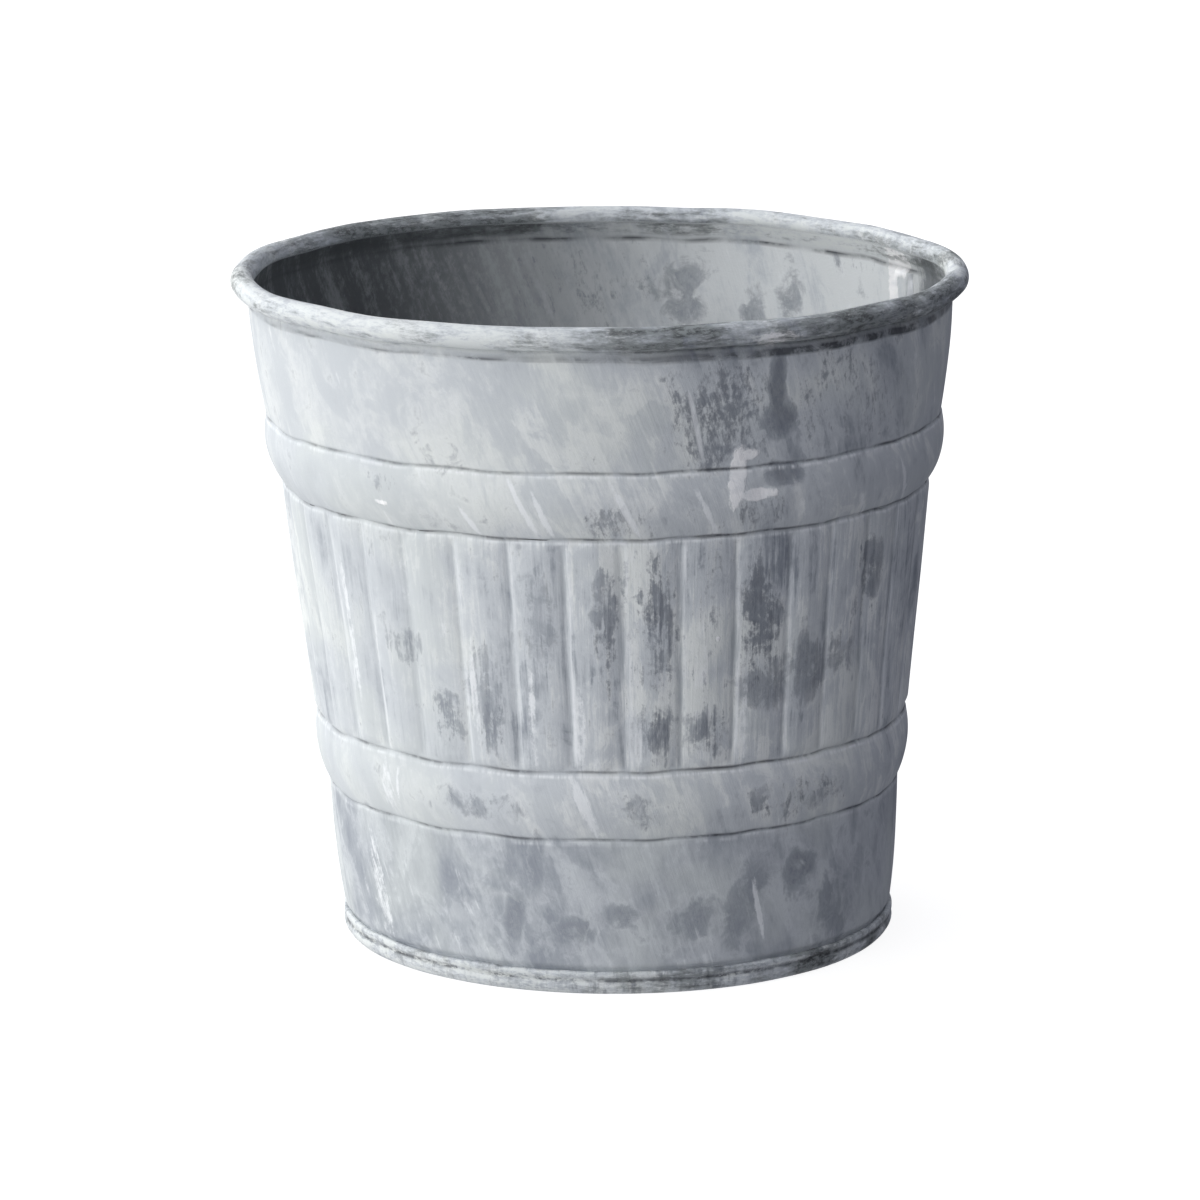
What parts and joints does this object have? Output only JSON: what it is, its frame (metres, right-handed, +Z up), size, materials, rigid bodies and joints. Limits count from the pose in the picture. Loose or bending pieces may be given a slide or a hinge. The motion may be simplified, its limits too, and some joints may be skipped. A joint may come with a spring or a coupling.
{
  "type": "florist bucket",
  "caption": "Tapered zinc-coated sheet-metal florist bucket with a rolled rim, rolled beads, a reeded middle band and a seamed base, for cut flowers or a pot.",
  "frame": {"origin": "centre of the foot ring's resting face, on the floor", "axes": "+Z up along the bucket's axis, out of its mouth; the side seam lies between +X and +Y, and the face seen from the front looks along -Y"},
  "size_m": [0.18, 0.18, 0.1654],
  "materials": {
    "weathered_zinc_wall": "weathered, whitewashed galvanised sheet, satin to matt",
    "weathered_zinc_base": "weathered galvanised sheet, satin to matt",
    "rim_wire_steel": "plain drawn steel wire, hidden inside the rolled rim",
    "seam_solder": "pale dull solder"
  },
  "bodies": {
    "root": {"wall_sheet": "weathered_zinc_wall", "rim_wire": "rim_wire_steel", "base_disc": "weathered_zinc_base", "side_seam_solder": "seam_solder", "base_seam_solder": "seam_solder"}
  },
  "joints": []
}
